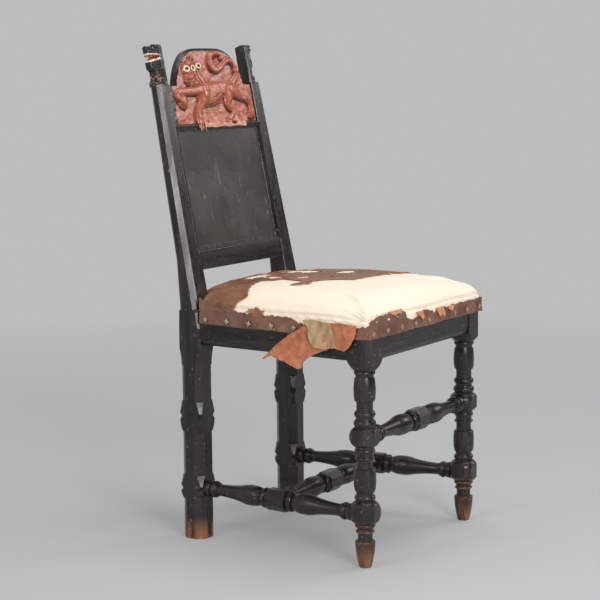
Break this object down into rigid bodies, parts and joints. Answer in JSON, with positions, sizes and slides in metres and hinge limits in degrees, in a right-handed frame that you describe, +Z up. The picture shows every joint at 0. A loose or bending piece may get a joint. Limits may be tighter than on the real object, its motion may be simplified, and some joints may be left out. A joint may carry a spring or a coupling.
{
  "type": "wainscot chair",
  "caption": "Joined side chair: turned front legs and stretchers, raked back posts with carved heads, a panelled back under a carved arched crest, a stuffed seat in torn leather.",
  "frame": {"origin": "on the floor, under the middle of the chair's overall box", "axes": "+Z up, -Y the way a sitter faces, +X to the right seen from the front"},
  "size_m": [0.5097, 0.5869, 1.06],
  "materials": {
    "black_painted_wood": "satin",
    "painted_carving": "satin",
    "brown_black_panel": "satin",
    "peg_wood": "matte",
    "girth_web": "matte",
    "iron_tack": "rough",
    "base_cloth": "matte",
    "stuffing": "matte",
    "linen": "matte",
    "worn_leather": "satin",
    "nail_brass": "tarnished",
    "leather_flesh_side": "matte",
    "lining_cloth": "matte"
  },
  "bodies": {
    "root": {"front_leg_left": "black_painted_wood", "front_leg_right": "black_painted_wood", "back_post_left": "black_painted_wood", "back_post_right": "black_painted_wood", "front_rail": "black_painted_wood", "rear_rail": "black_painted_wood", "side_rail_left": "black_painted_wood", "side_rail_right": "black_painted_wood", "side_stretcher_left": "black_painted_wood", "side_stretcher_right": "black_painted_wood", "medial_stretcher": "black_painted_wood", "front_stretcher": "black_painted_wood", "lower_back_rail": "black_painted_wood", "crest_board": "painted_carving", "back_panel": "brown_black_panel", "panel_moulding_top": "black_painted_wood", "panel_moulding_bottom": "black_painted_wood", "panel_moulding_left": "black_painted_wood", "panel_moulding_right": "black_painted_wood", "seat_frame_pegs": "peg_wood", "back_frame_pegs": "peg_wood", "webs_front_to_back": "girth_web", "webs_side_to_side": "girth_web", "webbing_tacks": "iron_tack", "base_cloth": "base_cloth", "seat_stuffing": "stuffing", "linen_cover": "linen", "leather_cover": "worn_leather", "leather_band_front": "worn_leather", "leather_band_left": "worn_leather", "leather_band_right": "worn_leather", "leather_band_back": "worn_leather", "band_nails": "nail_brass", "torn_leather_flaps": "leather_flesh_side", "torn_lining_flap": "lining_cloth"}
  },
  "joints": []
}
